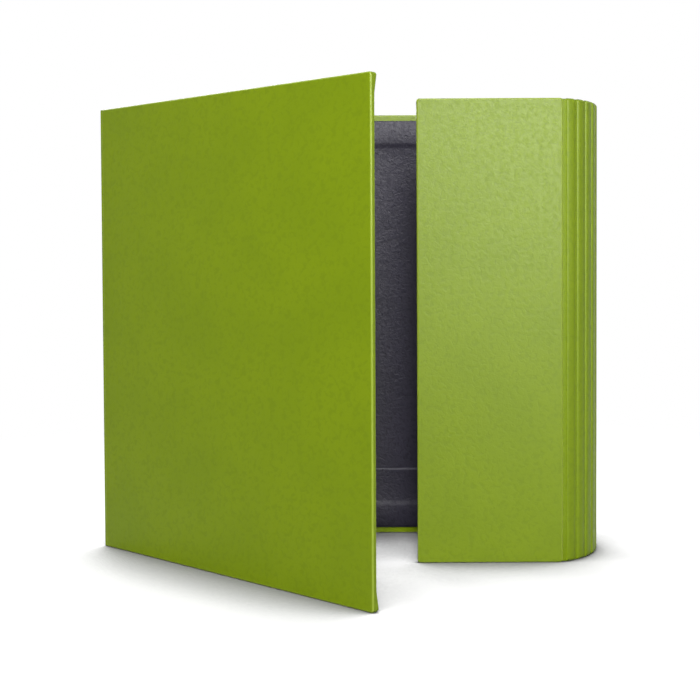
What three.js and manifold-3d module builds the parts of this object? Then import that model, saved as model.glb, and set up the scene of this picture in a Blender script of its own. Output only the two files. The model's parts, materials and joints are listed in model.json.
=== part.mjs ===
// Ring binder: a leatherette case standing half open, with a wide front cover on a hinged spine,
// a narrow front flap on a curved fore-edge of board strips, and a three-ring mechanism riveted
// inside the back. Millimetres, Z up. The viewer stands on the -Y side, and the middle of the
// back board's bottom edge is the origin.

import * as THREE from 'three';
import { mergeVertices } from 'three/addons/utils/BufferGeometryUtils.js';
import Module from 'manifold-3d';

const wasm = await Module();
wasm.setup();

const degrees = Math.PI / 180;

// Case sizes
const caseHeight = 292.1;
const caseDepth = 89.4; // back's outer face to flap's outer face
const backWidth = 214.5; // spine hinge to the first fore-edge groove
const coverWidth = 240; // cover hinge to free edge
const flapWidth = 92.5; // last groove to free edge
const boardThickness = 3.5;
const boardRadius = 0.9; // softened edge of a wrapped board
const coverClearance = 1; // closed cover's inside to the flap's outside

// Liner sizes
const linerThickness = 1.2;
const linerInset = 4.2; // green border left at the top, the bottom and the free edges
const linerRadius = 0.4;
const glueGap = 0.3;

// Left hinges, in the leatherette at the outer faces
const hingeWeb = 1.2;
const hingeMargin = 4.8; // board edge to the spine hinge, so that two boards fold square
const stripWidth = 8; // soft strip between the spine board and the cover board
const stripMargin = 2;
const hingeTipGap = 0.3; // end of a web to its hinge line
const hingeTipHalf = 0.15;
const hingeTaper = 0.6;

// Rest pose of the left side
const spineSplay = 69; // spine turned out from its closed place
const coverOpening = 42.2; // cover turned out from the back's plane

// Fore-edge strips, folded in the leatherette at their inner faces
const ribCount = 12;
const firstBend = 32; // at the back's edge and at the flap's edge
const ribWeb = 1;
const ribMargin = 0.9; // strip's side to its groove line
const ribTipGap = 0.2;
const ribRadius = 1.1;

// Pocket on the back liner
const pocketHeight = 40;
const pocketThickness = 0.8;
const pocketLift = 1.5; // pocket's lower edge above the liner's
const pocketMargin = 7;
const pocketRadius = 0.3;

// Ring mechanism
const plateOffset = 21.25; // spine hinge to the plate's centre line
const plateLength = 268;
const plateWidth = 25;
const plateHeight = 8;
const plateWall = 3.5; // height of the plate's side walls
const plateSheet = 1;
const plateCrown = 12; // flat top of the plate
const bladeThickness = 1.2;
const bladeLift = 0.5; // blade above the liner
const bladeGap = 0.4; // between the two blades, and from a blade to its wall
const bladeEndGap = 1;
const ringSpacing = 107.95;
const ringCount = 3;
const wireRadius = 2;
const ringFoot = 8; // foot of a ring half to the centre line
const ringHeight = 59; // wire's centre line above the liner
const ringBulge = 2.2; // curved half beyond its foot
const ringTipGap = 0.3;
const ringFootStraight = 6;
const slotClearance = 1.4;
const slotSide = 0.6;

// Levers and rivets
const leverWidth = 14;
const leverNeck = 8;
const leverReach = 21;
const leverLift = 0.8;
const leverThickness = 1.5;
const leverGap = 0.5;
const rivetShaft = 2;
const rivetHead = 4.6;
const rivetDome = 1.2;
const rivetInset = 12; // plate's end to a rivet
const rivetClearance = 0.3;

// Places worked out from the sizes
const spineHingeX = -backWidth / 2;
const spineHingeY = boardThickness / 2 - hingeWeb / 2;
const grooveX = backWidth / 2;
const grooveY = -boardThickness / 2 + ribWeb / 2;
const backInner = -boardThickness / 2;
const linerFace = backInner - glueGap - linerThickness;
const webOuter = -hingeWeb / 2;
const panelInner = webOuter + boardThickness;
const linedInner = panelInner + glueGap + linerThickness;
const closedCoverY = boardThickness / 2 - caseDepth - coverClearance - linedInner;
const spineLength = spineHingeY - closedCoverY - stripWidth;
const restFold = 90 + spineSplay - coverOpening; // spine to cover, with the strip between them
const stripFold = restFold - 90;
const midBend = (180 - 2 * firstBend) / (ribCount - 1);
const plateX = spineHingeX + plateOffset;
const plateBottom = (caseHeight - plateLength) / 2;
const plateTop = plateBottom + plateLength;

// Finishes
const green = { color: 0x8da53c, roughness: 0.55, metalness: 0 };
const charcoal = { color: 0x3d3a41, roughness: 0.7, metalness: 0 };
const chrome = { color: 0xc9ccce, roughness: 0.2, metalness: 1 };
const steel = { color: 0xa4a7aa, roughness: 0.35, metalness: 1 };

// Closed geometry to a solid, and back

function toSolid(geometry) {
  const bare = geometry.clone();
  bare.deleteAttribute('normal');
  bare.deleteAttribute('uv');
  const merged = mergeVertices(bare, 1e-4);
  const vertProperties = new Float32Array(merged.attributes.position.array);
  const triVerts = new Uint32Array(merged.index.array);
  return new wasm.Manifold(new wasm.Mesh({ numProp: 3, vertProperties, triVerts }));
}

function toGeometry(solid) {
  const mesh = solid.getMesh();
  const geometry = new THREE.BufferGeometry();
  geometry.setAttribute('position', new THREE.BufferAttribute(mesh.vertProperties, 3));
  geometry.setIndex(new THREE.BufferAttribute(mesh.triVerts, 1));
  geometry.computeVertexNormals();
  return geometry;
}

function join(base, ...others) {
  let solid = toSolid(base);
  for (const other of others) {
    solid = solid.add(toSolid(other));
  }
  return toGeometry(solid);
}

function cut(base, tools) {
  let solid = toSolid(base);
  for (const tool of tools) {
    solid = solid.subtract(toSolid(tool));
  }
  return toGeometry(solid);
}

// Basic forms

function bar(outline, bottom, height) {
  const shape = new THREE.Shape(outline.map(([x, y]) => new THREE.Vector2(x, y)));
  const geometry = new THREE.ExtrudeGeometry(shape, { depth: height, bevelEnabled: false });
  geometry.translate(0, 0, bottom);
  return geometry;
}

function block(x0, x1, y0, y1, z0, z1) {
  const geometry = new THREE.BoxGeometry(x1 - x0, y1 - y0, z1 - z0);
  geometry.translate((x0 + x1) / 2, (y0 + y1) / 2, (z0 + z1) / 2);
  return geometry;
}

function panel({ x0, x1, y0, y1, z0, z1, radius }) {
  const shape = new THREE.Shape();
  shape.moveTo(x0, z0);
  shape.lineTo(x1, z0);
  shape.lineTo(x1, z1);
  shape.lineTo(x0, z1);
  shape.closePath();
  const geometry = new THREE.ExtrudeGeometry(shape, {
    depth: y1 - y0 - 2 * radius,
    bevelThickness: radius,
    bevelSize: radius,
    bevelOffset: -radius,
    bevelSegments: 3,
  });
  geometry.rotateX(Math.PI / 2);
  geometry.translate(0, y1 - radius, 0);
  return geometry;
}

function wrappedBoard(x0, x1, y0, y1) {
  return panel({ x0, x1, y0, y1, z0: 0, z1: caseHeight, radius: boardRadius });
}

function linerSheet(x0, x1, y0) {
  return panel({
    x0,
    x1,
    y0,
    y1: y0 + linerThickness,
    z0: linerInset,
    z1: caseHeight - linerInset,
    radius: linerRadius,
  });
}

function addMesh(parent, name, geometry, finish) {
  const mesh = new THREE.Mesh(geometry, new THREE.MeshStandardMaterial(finish));
  mesh.name = name;
  parent.add(mesh);
  return mesh;
}

function addHinge(parent, x, y, turn) {
  const hinge = new THREE.Group();
  hinge.position.set(x, y, 0);
  hinge.rotation.z = turn * degrees;
  parent.add(hinge);
  return hinge;
}

// Webs of leatherette that reach a hinge line. Each tapers, so that two of them fold square

function taperedWeb(tip, root, middle) {
  const toRoot = Math.sign(root - tip);
  const shoulder = tip + toRoot * hingeTaper;
  const half = hingeWeb / 2;
  const outline = [
    [tip, middle - hingeTipHalf],
    [shoulder, middle - half],
    [root, middle - half],
    [root, middle + half],
    [shoulder, middle + half],
    [tip, middle + hingeTipHalf],
  ];
  return bar(toRoot > 0 ? outline : outline.reverse(), 0, caseHeight);
}

function plainWeb(x0, x1, middle) {
  return block(x0, x1, middle - ribWeb / 2, middle + ribWeb / 2, 0, caseHeight);
}

// Back, with its liner and pocket

function rivetHeights() {
  return [plateBottom + rivetInset, plateTop - rivetInset];
}

function rivetHoles() {
  return rivetHeights().map((z) => {
    const tool = new THREE.CylinderGeometry(
      rivetShaft + rivetClearance,
      rivetShaft + rivetClearance,
      4 * (boardThickness + plateHeight),
      24,
    );
    tool.translate(plateX, 0, z);
    return tool;
  });
}

function buildBack(parent) {
  const boardLeft = spineHingeX + hingeMargin;
  const boardRight = grooveX - ribMargin;
  const spineWeb = taperedWeb(spineHingeX + hingeTipGap, boardLeft + hingeWeb, spineHingeY);
  const ribSideWeb = plainWeb(boardRight - ribWeb, grooveX - ribTipGap, grooveY);
  const board = wrappedBoard(boardLeft, boardRight, backInner, boardThickness / 2);
  const holed = cut(join(board, spineWeb, ribSideWeb), rivetHoles());
  addMesh(parent, 'back_cover', holed, green);

  const liner = linerSheet(boardLeft, boardRight, linerFace);
  addMesh(parent, 'back_liner', cut(liner, rivetHoles()), charcoal);

  const pocket = panel({
    x0: plateX + plateWidth / 2 + pocketMargin,
    x1: boardRight - pocketMargin,
    y0: linerFace - pocketThickness,
    y1: linerFace,
    z0: linerInset + pocketLift,
    z1: linerInset + pocketLift + pocketHeight,
    radius: pocketRadius,
  });
  addMesh(parent, 'back_pocket', pocket, charcoal);
}

// Spine, hinge strip and front cover, each turned about the one before it

function buildLeftSide(parent) {
  const spineHinge = addHinge(parent, spineHingeX, spineHingeY, -90 - spineSplay);
  const spineStart = hingeMargin;
  const spineEnd = spineLength - stripMargin;
  const innerWeb = taperedWeb(hingeTipGap, spineStart + hingeWeb, 0);
  const outerWeb = taperedWeb(spineLength - hingeTipGap, spineEnd - hingeWeb, 0);
  const spineBoard = wrappedBoard(spineStart, spineEnd, webOuter, panelInner);
  addMesh(spineHinge, 'spine_cover', join(spineBoard, innerWeb, outerWeb), green);
  const spineLiner = linerSheet(spineStart, spineEnd, panelInner + glueGap);
  addMesh(spineHinge, 'spine_liner', spineLiner, charcoal);

  const stripHinge = addHinge(spineHinge, spineLength, 0, stripFold);
  const middle = stripWidth / 2;
  const stripHalf = taperedWeb(hingeTipGap, middle, 0);
  const otherHalf = taperedWeb(stripWidth - hingeTipGap, middle, 0);
  addMesh(stripHinge, 'cover_hinge_strip', join(stripHalf, otherHalf), green);

  const coverHinge = addHinge(stripHinge, stripWidth, 0, restFold - stripFold);
  const coverWeb = taperedWeb(hingeTipGap, stripMargin + hingeWeb, 0);
  const coverBoard = wrappedBoard(stripMargin, coverWidth, webOuter, panelInner);
  addMesh(coverHinge, 'front_cover', join(coverBoard, coverWeb), green);
  const coverLiner = linerSheet(stripMargin, coverWidth - linerInset, panelInner + glueGap);
  addMesh(coverHinge, 'front_liner', coverLiner, charcoal);
}

// Fore-edge strips and front flap, each turned about the one before it

function ribBends() {
  const bends = Array(ribCount + 1).fill(midBend);
  bends[0] = firstBend;
  bends[ribCount] = firstBend;
  return bends;
}

function ribPitch() {
  let heading = 0;
  let rise = 0;
  for (const bend of ribBends().slice(0, ribCount)) {
    heading += bend;
    rise += Math.sin(heading * degrees);
  }
  return (caseDepth - 2 * (boardThickness - ribWeb / 2)) / rise;
}

function ribShape(pitch) {
  const base = -ribWeb / 2;
  const ledge = ribWeb / 2;
  const top = boardThickness - ribWeb / 2;
  const left = ribMargin;
  const right = pitch - ribMargin;
  const shape = new THREE.Shape();
  shape.moveTo(ribTipGap, base);
  shape.lineTo(pitch - ribTipGap, base);
  shape.lineTo(pitch - ribTipGap, ledge);
  shape.lineTo(right, ledge);
  shape.lineTo(right, top - ribRadius);
  shape.quadraticCurveTo(right, top, right - ribRadius, top);
  shape.lineTo(left + ribRadius, top);
  shape.quadraticCurveTo(left, top, left, top - ribRadius);
  shape.lineTo(left, ledge);
  shape.lineTo(ribTipGap, ledge);
  shape.closePath();
  return shape;
}

function buildForeEdge(parent) {
  const pitch = ribPitch();
  const bends = ribBends();
  let carrier = addHinge(parent, grooveX, grooveY, -bends[0]);
  for (let index = 0; index < ribCount; index += 1) {
    const rib = new THREE.ExtrudeGeometry(ribShape(pitch), {
      depth: caseHeight,
      bevelEnabled: false,
      curveSegments: 4,
    });
    addMesh(carrier, `fore_edge_rib_${index + 1}`, rib, green);
    carrier = addHinge(carrier, pitch, 0, -bends[index + 1]);
  }

  const inner = -ribWeb / 2;
  const web = plainWeb(ribTipGap, ribMargin + ribWeb, 0);
  const board = wrappedBoard(ribMargin, flapWidth, inner, inner + boardThickness);
  addMesh(carrier, 'front_flap', join(board, web), green);
  const linerStart = inner - glueGap - linerThickness;
  addMesh(carrier, 'flap_liner', linerSheet(ribMargin, flapWidth - linerInset, linerStart), charcoal);
}

// Ring mechanism. Heights are measured from the liner towards the viewer

function above(height) {
  return linerFace - height;
}

function plateOutline() {
  const half = plateWidth / 2;
  const crown = plateCrown / 2;
  const lean = plateSheet * 0.4; // keeps the sloped sides at the sheet's thickness
  const outer = [
    [-half, 0],
    [-half, plateWall],
    [-crown, plateHeight],
    [crown, plateHeight],
    [half, plateWall],
    [half, 0],
  ];
  const inner = [
    [half - plateSheet, 0],
    [half - plateSheet, plateWall - lean],
    [crown - lean, plateHeight - plateSheet],
    [lean - crown, plateHeight - plateSheet],
    [plateSheet - half, plateWall - lean],
    [plateSheet - half, 0],
  ];
  return [...outer, ...inner].map(([x, height]) => [plateX + x, above(height)]);
}

function ringPlaces() {
  const middle = (ringCount - 1) / 2;
  return Array.from({ length: ringCount }, (_, index) => {
    return caseHeight / 2 + (index - middle) * ringSpacing;
  });
}

function plateSlots() {
  const slots = [];
  for (const z of ringPlaces()) {
    for (const side of [-1, 1]) {
      const middle = plateX + side * ringFoot;
      const reach = wireRadius + slotClearance;
      const low = above(2 * plateHeight);
      const high = above(bladeLift + bladeThickness + bladeGap);
      const halfSlot = wireRadius + slotSide;
      slots.push(block(middle - reach, middle + reach, low, high, z - halfSlot, z + halfSlot));
    }
  }
  return slots;
}

function buildPlate(parent) {
  const plate = bar(plateOutline(), plateBottom, plateLength);
  addMesh(parent, 'ring_plate', cut(plate, [...plateSlots(), ...rivetHoles()]), chrome);
}

function buildBlades(parent) {
  const wall = plateWidth / 2 - plateSheet - bladeGap;
  for (const [name, side] of [['left', -1], ['right', 1]]) {
    const edges = [plateX + side * (bladeGap / 2), plateX + side * wall];
    const blade = block(
      Math.min(...edges),
      Math.max(...edges),
      above(bladeLift + bladeThickness),
      above(bladeLift),
      plateBottom + bladeEndGap,
      plateTop - bladeEndGap,
    );
    addMesh(parent, `ring_blade_${name}`, cut(blade, rivetHoles()), steel);
  }
}

function wirePath(side, z) {
  const foot = above(bladeLift + bladeThickness);
  const crest = above(ringHeight);
  const footX = plateX + side * ringFoot;
  const tipX = plateX + side * (ringTipGap / 2);
  const point = (x, y) => new THREE.Vector3(x, y, z);
  const path = new THREE.CurvePath();
  if (side > 0) {
    const bend = ringFoot;
    path.add(new THREE.LineCurve3(point(footX, foot), point(footX, crest + bend)));
    path.add(new THREE.QuadraticBezierCurve3(
      point(footX, crest + bend),
      point(footX, crest),
      point(tipX, crest),
    ));
    return path;
  }
  const bulgeX = footX - ringBulge;
  const straight = foot - ringFootStraight;
  const middle = (foot + crest) / 2;
  const ease = ringHeight / 5;
  path.add(new THREE.LineCurve3(point(footX, foot), point(footX, straight)));
  path.add(new THREE.CubicBezierCurve3(
    point(footX, straight),
    point(footX, straight - ease / 2),
    point(bulgeX, middle + ease),
    point(bulgeX, middle),
  ));
  path.add(new THREE.CubicBezierCurve3(
    point(bulgeX, middle),
    point(bulgeX, middle - ease),
    point(footX, crest),
    point(tipX, crest),
  ));
  return path;
}

function buildRings(parent) {
  const section = new THREE.Shape();
  section.absarc(0, 0, wireRadius, 0, 2 * Math.PI, false);
  for (const [name, side] of [['left', -1], ['right', 1]]) {
    ringPlaces().forEach((z, index) => {
      const wire = new THREE.ExtrudeGeometry(section, {
        steps: 26,
        curveSegments: 6,
        extrudePath: wirePath(side, z),
      });
      addMesh(parent, `ring_${name}_${index + 1}`, wire, chrome);
    });
  }
}

function leverOutline() {
  const neck = leverNeck / 2;
  const half = leverWidth / 2;
  const knee = leverReach / 3;
  const shape = new THREE.Shape();
  shape.moveTo(plateX - neck, above(leverLift));
  shape.lineTo(plateX - neck, above(knee));
  shape.lineTo(plateX - half, above(knee + neck));
  shape.lineTo(plateX - half, above(leverReach - half));
  shape.absarc(plateX, above(leverReach - half), half, Math.PI, 2 * Math.PI, false);
  shape.lineTo(plateX + half, above(knee + neck));
  shape.lineTo(plateX + neck, above(knee));
  shape.lineTo(plateX + neck, above(leverLift));
  shape.closePath();
  return shape;
}

function buildLevers(parent) {
  const starts = { upper: plateTop + leverGap, lower: plateBottom - leverGap - leverThickness };
  for (const [name, bottom] of Object.entries(starts)) {
    const lever = new THREE.ExtrudeGeometry(leverOutline(), {
      depth: leverThickness,
      bevelEnabled: false,
      curveSegments: 12,
    });
    lever.translate(0, 0, bottom);
    addMesh(parent, `ring_lever_${name}`, lever, chrome);
  }
}

function buildRivets(parent) {
  const outside = boardThickness / 2;
  const inside = above(plateHeight);
  const crown = rivetHead * 0.6; // flat middle of the domed head
  const profile = [
    [0, inside - rivetDome],
    [crown, inside - rivetDome],
    [rivetHead, inside],
    [rivetShaft, inside],
    [rivetShaft, outside],
    [rivetHead, outside],
    [crown, outside + rivetDome],
    [0, outside + rivetDome],
  ].map(([radius, y]) => new THREE.Vector2(radius, y));
  const names = ['rivet_lower', 'rivet_upper'];
  rivetHeights().forEach((z, index) => {
    const rivet = new THREE.LatheGeometry(profile, 24);
    rivet.translate(plateX, 0, z);
    addMesh(parent, names[index], rivet, steel);
  });
}

const binder = new THREE.Group();
buildBack(binder);
buildLeftSide(binder);
buildForeEdge(binder);
buildPlate(binder);
buildBlades(binder);
buildRings(binder);
buildLevers(binder);
buildRivets(binder);

export default binder;
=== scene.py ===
"""Dresses the ring binder: wrapped boards, soft folds, lining, pocket and ring mechanism."""

import json
import logging
import math
from dataclasses import dataclass, field
from enum import Enum
from typing import Callable, Iterable, Sequence

import bmesh
import bpy
from mathutils import Euler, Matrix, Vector


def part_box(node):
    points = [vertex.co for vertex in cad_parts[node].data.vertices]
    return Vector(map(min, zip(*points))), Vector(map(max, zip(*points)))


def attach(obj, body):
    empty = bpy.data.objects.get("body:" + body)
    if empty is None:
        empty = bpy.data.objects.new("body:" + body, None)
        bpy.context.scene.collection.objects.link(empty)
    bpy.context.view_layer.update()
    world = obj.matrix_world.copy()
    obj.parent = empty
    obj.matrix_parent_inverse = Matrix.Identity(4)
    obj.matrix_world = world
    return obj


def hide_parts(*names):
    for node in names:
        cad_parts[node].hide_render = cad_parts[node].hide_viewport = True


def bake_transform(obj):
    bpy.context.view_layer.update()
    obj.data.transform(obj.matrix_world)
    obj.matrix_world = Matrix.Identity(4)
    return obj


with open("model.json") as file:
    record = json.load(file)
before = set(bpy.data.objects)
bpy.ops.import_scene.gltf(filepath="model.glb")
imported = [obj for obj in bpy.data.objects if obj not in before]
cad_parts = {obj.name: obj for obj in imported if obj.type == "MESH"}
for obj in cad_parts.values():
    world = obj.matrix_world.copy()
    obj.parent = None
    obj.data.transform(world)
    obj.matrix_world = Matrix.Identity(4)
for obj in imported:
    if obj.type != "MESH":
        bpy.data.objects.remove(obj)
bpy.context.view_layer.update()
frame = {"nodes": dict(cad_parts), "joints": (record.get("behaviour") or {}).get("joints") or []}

LOG = logging.getLogger("binder")
MM = 0.001
# the vertex layer that carries the painted edge highlight
EDGE_LAYER = "painted_edge_highlight"
FULL_TURN = 2 * math.pi
QUARTER_TURN = math.pi / 2
FLAT_FACE_WEIGHT = 100
WHITE = (1, 1, 1, 1)

Pair = tuple[float, float]
Extent = tuple[Pair, Pair]
Colour = tuple[float, float, float]
Triple = tuple[float, float, float]
Socket = bpy.types.NodeSocket
Node = bpy.types.Node
Feeds = dict[str | int, object]
NodeTree = bpy.types.NodeTree
Material = bpy.types.Material
Object = bpy.types.Object
Mesh = bmesh.types.BMesh
Vertex = bmesh.types.BMVert
Face = bmesh.types.BMFace


class Slot(Enum):
    """The record's material slots."""

    GREEN = "green_leatherette"
    LINER = "dark_liner"
    CHROME = "ring_chrome"
    STEEL = "plated_steel"


class Chain(Enum):
    """Which side of a board's heading its outer face lies on."""

    LEFT = -1
    RIGHT = 1


# Shader node helpers


class Tree:
    """A thin wrapper that adds and links nodes in one node tree."""

    def __init__(self, tree: NodeTree) -> None:
        """Keeps the node tree that the other methods add to."""
        self.tree = tree

    def add(self, kind: str, feeds: Feeds | None = None, **settings: object) -> Node:
        """Adds one node.

        Args:
            kind: Blender's name for the node's type.
            feeds: what its inputs take.
            settings: attributes to set on the node.

        Returns:
            The new node.
        """
        node = self.tree.nodes.new(kind)
        for name, value in settings.items():
            setattr(node, name, value)
        self.feed(node, feeds or {})
        return node

    def feed(self, node: Node, feeds: Feeds) -> None:
        """Links or sets a node's inputs.

        Args:
            node: the node.
            feeds: a socket or a value for each input, by its name or number.
        """
        for key, value in feeds.items():
            if isinstance(value, Socket):
                self.tree.links.new(value, node.inputs[key])
            else:
                node.inputs[key].default_value = value

    def math(self, operation: str, first: object, second: object) -> Socket:
        """Adds a math node for two sockets or numbers."""
        return self.add("ShaderNodeMath", {0: first, 1: second}, operation=operation).outputs[0]

    def remap(self, value: Socket, source: Pair, target: Pair) -> Socket:
        """Maps a value smoothly from one range to another.

        Args:
            value: the socket to map.
            source: the input range.
            target: the output range.

        Returns:
            The mapped value's socket.
        """
        names = ("Value", "From Min", "From Max", "To Min", "To Max")
        feeds = dict(zip(names, (value, *source, *target)))
        node = self.add("ShaderNodeMapRange", feeds, interpolation_type="SMOOTHSTEP")
        return node.outputs["Result"]

    def blend(self, factor: Socket, first: object, second: Colour) -> Socket:
        """Mixes two colours.

        Args:
            factor: the mask socket.
            first: the colour where the mask is 0, or its socket.
            second: the colour where the mask is 1.

        Returns:
            The mixed colour's socket.
        """
        base = first if isinstance(first, Socket) else (*first, 1)
        feeds = {"Factor": factor, "A": base, "B": (*second, 1)}
        return self.add("ShaderNodeMix", feeds, data_type="RGBA").outputs["Result"]

    def noise(self, places: Socket, scale: object, **others: float) -> Node:
        """Adds a noise texture, with values for its other inputs by name."""
        return self.add("ShaderNodeTexNoise", {"Vector": places, "Scale": scale, **others})

    def bump(self, height: Socket, strength: float, distance: float) -> Socket:
        """Turns a height into a normal, by a strength and a depth in metres."""
        feeds = {"Height": height, "Strength": strength, "Distance": distance}
        return self.add("ShaderNodeBump", feeds).outputs["Normal"]

    def mix_shaders(self, factor: Socket, first: Socket, second: Socket) -> Socket:
        """Mixes two shaders by a mask, from the first at 0 to the second at 1."""
        return self.add("ShaderNodeMixShader", {0: factor, 1: first, 2: second}).outputs[0]


def new_group(name: str, inputs: dict[str, float], outputs: Iterable[str]) -> NodeTree:
    """Starts a shader node group.

    Args:
        name: the group's name.
        inputs: number inputs and their defaults, beside a Vector input.
        outputs: the names of the number outputs.

    Returns:
        The empty group.
    """
    group = bpy.data.node_groups.new(name, "ShaderNodeTree")
    group.interface.new_socket("Vector", in_out="INPUT", socket_type="NodeSocketVector")
    for title, default in inputs.items():
        socket = group.interface.new_socket(title, in_out="INPUT", socket_type="NodeSocketFloat")
        socket.default_value = default
    for title in outputs:
        group.interface.new_socket(title, in_out="OUTPUT", socket_type="NodeSocketFloat")
    return group


@dataclass(frozen=True)
class LeatherGrain:
    """How the shared pebbled grain is scaled and mixed. Scales are per metre."""

    warp_scale: float = 260
    warp_detail: float = 2
    warp_shift: float = 0.0011
    fold_detail: float = 3
    fold_roughness: float = 0.55
    fold_distortion: float = 0.7
    pebble_height: float = -0.22
    wrinkle_height: float = 2.0
    crease_range: Pair = (0.52, 0.36)

    def build(self) -> NodeTree:
        """Builds the pebbled grain that both leatherettes share.

        Returns:
            A group with a Height and a Crease output.
        """
        sockets = {"Pebbles": 900.0, "Softness": 0.5, "Wrinkles": 330.0}
        group = new_group("leather_grain", sockets, ("Height", "Crease"))
        tree = Tree(group)
        start = tree.add("NodeGroupInput")
        places = start.outputs["Vector"]
        warp = tree.noise(places, self.warp_scale, Detail=self.warp_detail)
        feeds = {0: warp.outputs["Color"], "Scale": self.warp_shift}
        shift = tree.add("ShaderNodeVectorMath", feeds, operation="SCALE")
        moved = tree.add("ShaderNodeVectorMath", {0: places, 1: shift.outputs[0]}, operation="ADD")
        feeds = {
            "Vector": moved.outputs[0],
            "Scale": start.outputs["Pebbles"],
            "Smoothness": start.outputs["Softness"],
        }
        cells = tree.add("ShaderNodeTexVoronoi", feeds, feature="SMOOTH_F1")
        fold = tree.noise(
            places,
            start.outputs["Wrinkles"],
            Detail=self.fold_detail,
            Roughness=self.fold_roughness,
            Distortion=self.fold_distortion,
        )
        pebble = tree.math("MULTIPLY", cells.outputs["Distance"], self.pebble_height)
        wrinkle = tree.math("MULTIPLY", fold.outputs["Fac"], self.wrinkle_height)
        # the valleys of the wrinkles, which the leatherettes darken as painted shade
        crease = tree.remap(fold.outputs["Fac"], self.crease_range, (0.0, 1.0))
        height = tree.math("ADD", pebble, wrinkle)
        tree.add("NodeGroupOutput", {"Height": height, "Crease": crease})
        return group


@dataclass(frozen=True)
class Handling:
    """The broad cloudy change of tone that handled surfaces have. Scales are per metre."""

    cloud_scale: float = 22.0
    cloud_detail: float = 3
    cloud_range: Pair = (0.3, 0.7)
    speck_scale: float = 330
    speck_detail: float = 2
    speck_range: Pair = (0.35, 0.7)

    def build(self) -> NodeTree:
        """Builds the shared group.

        Returns:
            A group with a Cloud and a Speck output.
        """
        group = new_group("handling", {"Scale": self.cloud_scale}, ("Cloud", "Speck"))
        tree = Tree(group)
        start = tree.add("NodeGroupInput")
        places = start.outputs["Vector"]
        cloud = tree.noise(places, start.outputs["Scale"], Detail=self.cloud_detail)
        speck = tree.noise(places, self.speck_scale, Detail=self.speck_detail)
        feeds = {
            "Cloud": tree.remap(cloud.outputs["Fac"], self.cloud_range, (0.0, 1.0)),
            "Speck": tree.remap(speck.outputs["Fac"], self.speck_range, (0.0, 1.0)),
        }
        tree.add("NodeGroupOutput", feeds)
        return group


def start_material(name: str) -> tuple[Material, Tree, Node, Socket]:
    """Starts a material with a Principled shader and object coordinates.

    Args:
        name: the material's name.

    Returns:
        The material, its tree, its Principled node and its coordinates.
    """
    material = bpy.data.materials.new(name)
    material.use_nodes = True
    tree = Tree(material.node_tree)
    shader = material.node_tree.nodes["Principled BSDF"]
    return material, tree, shader, tree.add("ShaderNodeTexCoord").outputs["Object"]


@dataclass(frozen=True)
class Leatherette:
    """Coated cloth with a pebbled grain.

    The colours are linear. The grain's depth is in metres, and its scales are per metre. The
    crease colour is painted shade that darkens the grain's valleys, and the next colour is a
    painted highlight along the rounded edges and the pocket's hem. The shares say how far each is
    laid on, and the polish is how much smoother the highlighted edges are.
    """

    name: str
    colour: Colour
    shade: Colour
    # painted shade colour for the grain's valleys
    crease: Colour
    # painted highlight colour along the rounded edges and the pocket's hem
    edge_highlight: Colour
    roughness: Pair
    specular: float
    pebbles: float = 1000.0
    wrinkles: float = 360.0
    depth: float = 0.00022
    strength: float = 0.55
    crease_shade_share: float = 0.55
    edge_highlight_share: float = 0.4
    polish: float = -0.25

    def build(self, grain: NodeTree, handling: NodeTree) -> Material:
        """Builds the material.

        Args:
            grain: the shared grain group.
            handling: the shared tone group.

        Returns:
            The finished material.
        """
        material, tree, shader, places = start_material(self.name)
        feeds = {"Vector": places, "Pebbles": self.pebbles, "Wrinkles": self.wrinkles}
        texture = tree.add("ShaderNodeGroup", feeds, node_tree=grain)
        tone = tree.add("ShaderNodeGroup", {"Vector": places}, node_tree=handling)
        body = tree.blend(tone.outputs["Cloud"], self.colour, self.shade)
        # painted shade: the grain's valleys are darkened
        mask = tree.math("MULTIPLY", texture.outputs["Crease"], self.crease_shade_share)
        crease_shaded = tree.blend(mask, body, self.crease)
        # painted highlight: the rounded edges are lightened and made smoother
        edges = tree.add("ShaderNodeAttribute", attribute_name=EDGE_LAYER)
        highlight_mask = tree.math("MULTIPLY", edges.outputs["Fac"], self.edge_highlight_share)
        rough = tree.remap(tone.outputs["Speck"], (0.0, 1.0), self.roughness)
        polished = tree.math("MULTIPLY", highlight_mask, self.polish)
        feeds = {
            "Base Color": tree.blend(highlight_mask, crease_shaded, self.edge_highlight),
            "Roughness": tree.math("ADD", rough, polished),
            "Specular IOR Level": self.specular,
            "Normal": tree.bump(texture.outputs["Height"], self.strength, self.depth),
        }
        tree.feed(shader, feeds)
        return material


@dataclass(frozen=True)
class PlatedMetal:
    """Plated steel with faint handling marks and a grain drawn along its height.

    The stretch is the grain's scale per metre on each axis, and its depth is in metres.
    """

    name: str
    colour: Colour
    shade: Colour
    roughness: Pair
    grain: float
    stretch: Triple = (1500, 1500, 40)
    grain_range: Pair = (0.3, 0.7)
    depth: float = 0.00002

    def build(self, handling: NodeTree) -> Material:
        """Builds the material.

        Args:
            handling: the shared tone group.

        Returns:
            The finished material.
        """
        material, tree, shader, places = start_material(self.name)
        tone = tree.add("ShaderNodeGroup", {"Vector": places}, node_tree=handling)
        stretched = tree.add("ShaderNodeMapping", {"Vector": places, "Scale": self.stretch})
        lines = tree.noise(stretched.outputs[0], 1).outputs["Fac"]
        feeds = {
            "Metallic": 1,
            "Base Color": tree.blend(tone.outputs["Cloud"], self.colour, self.shade),
            "Roughness": tree.remap(lines, self.grain_range, self.roughness),
            "Normal": tree.bump(lines, self.grain, self.depth),
        }
        tree.feed(shader, feeds)
        return material


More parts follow.
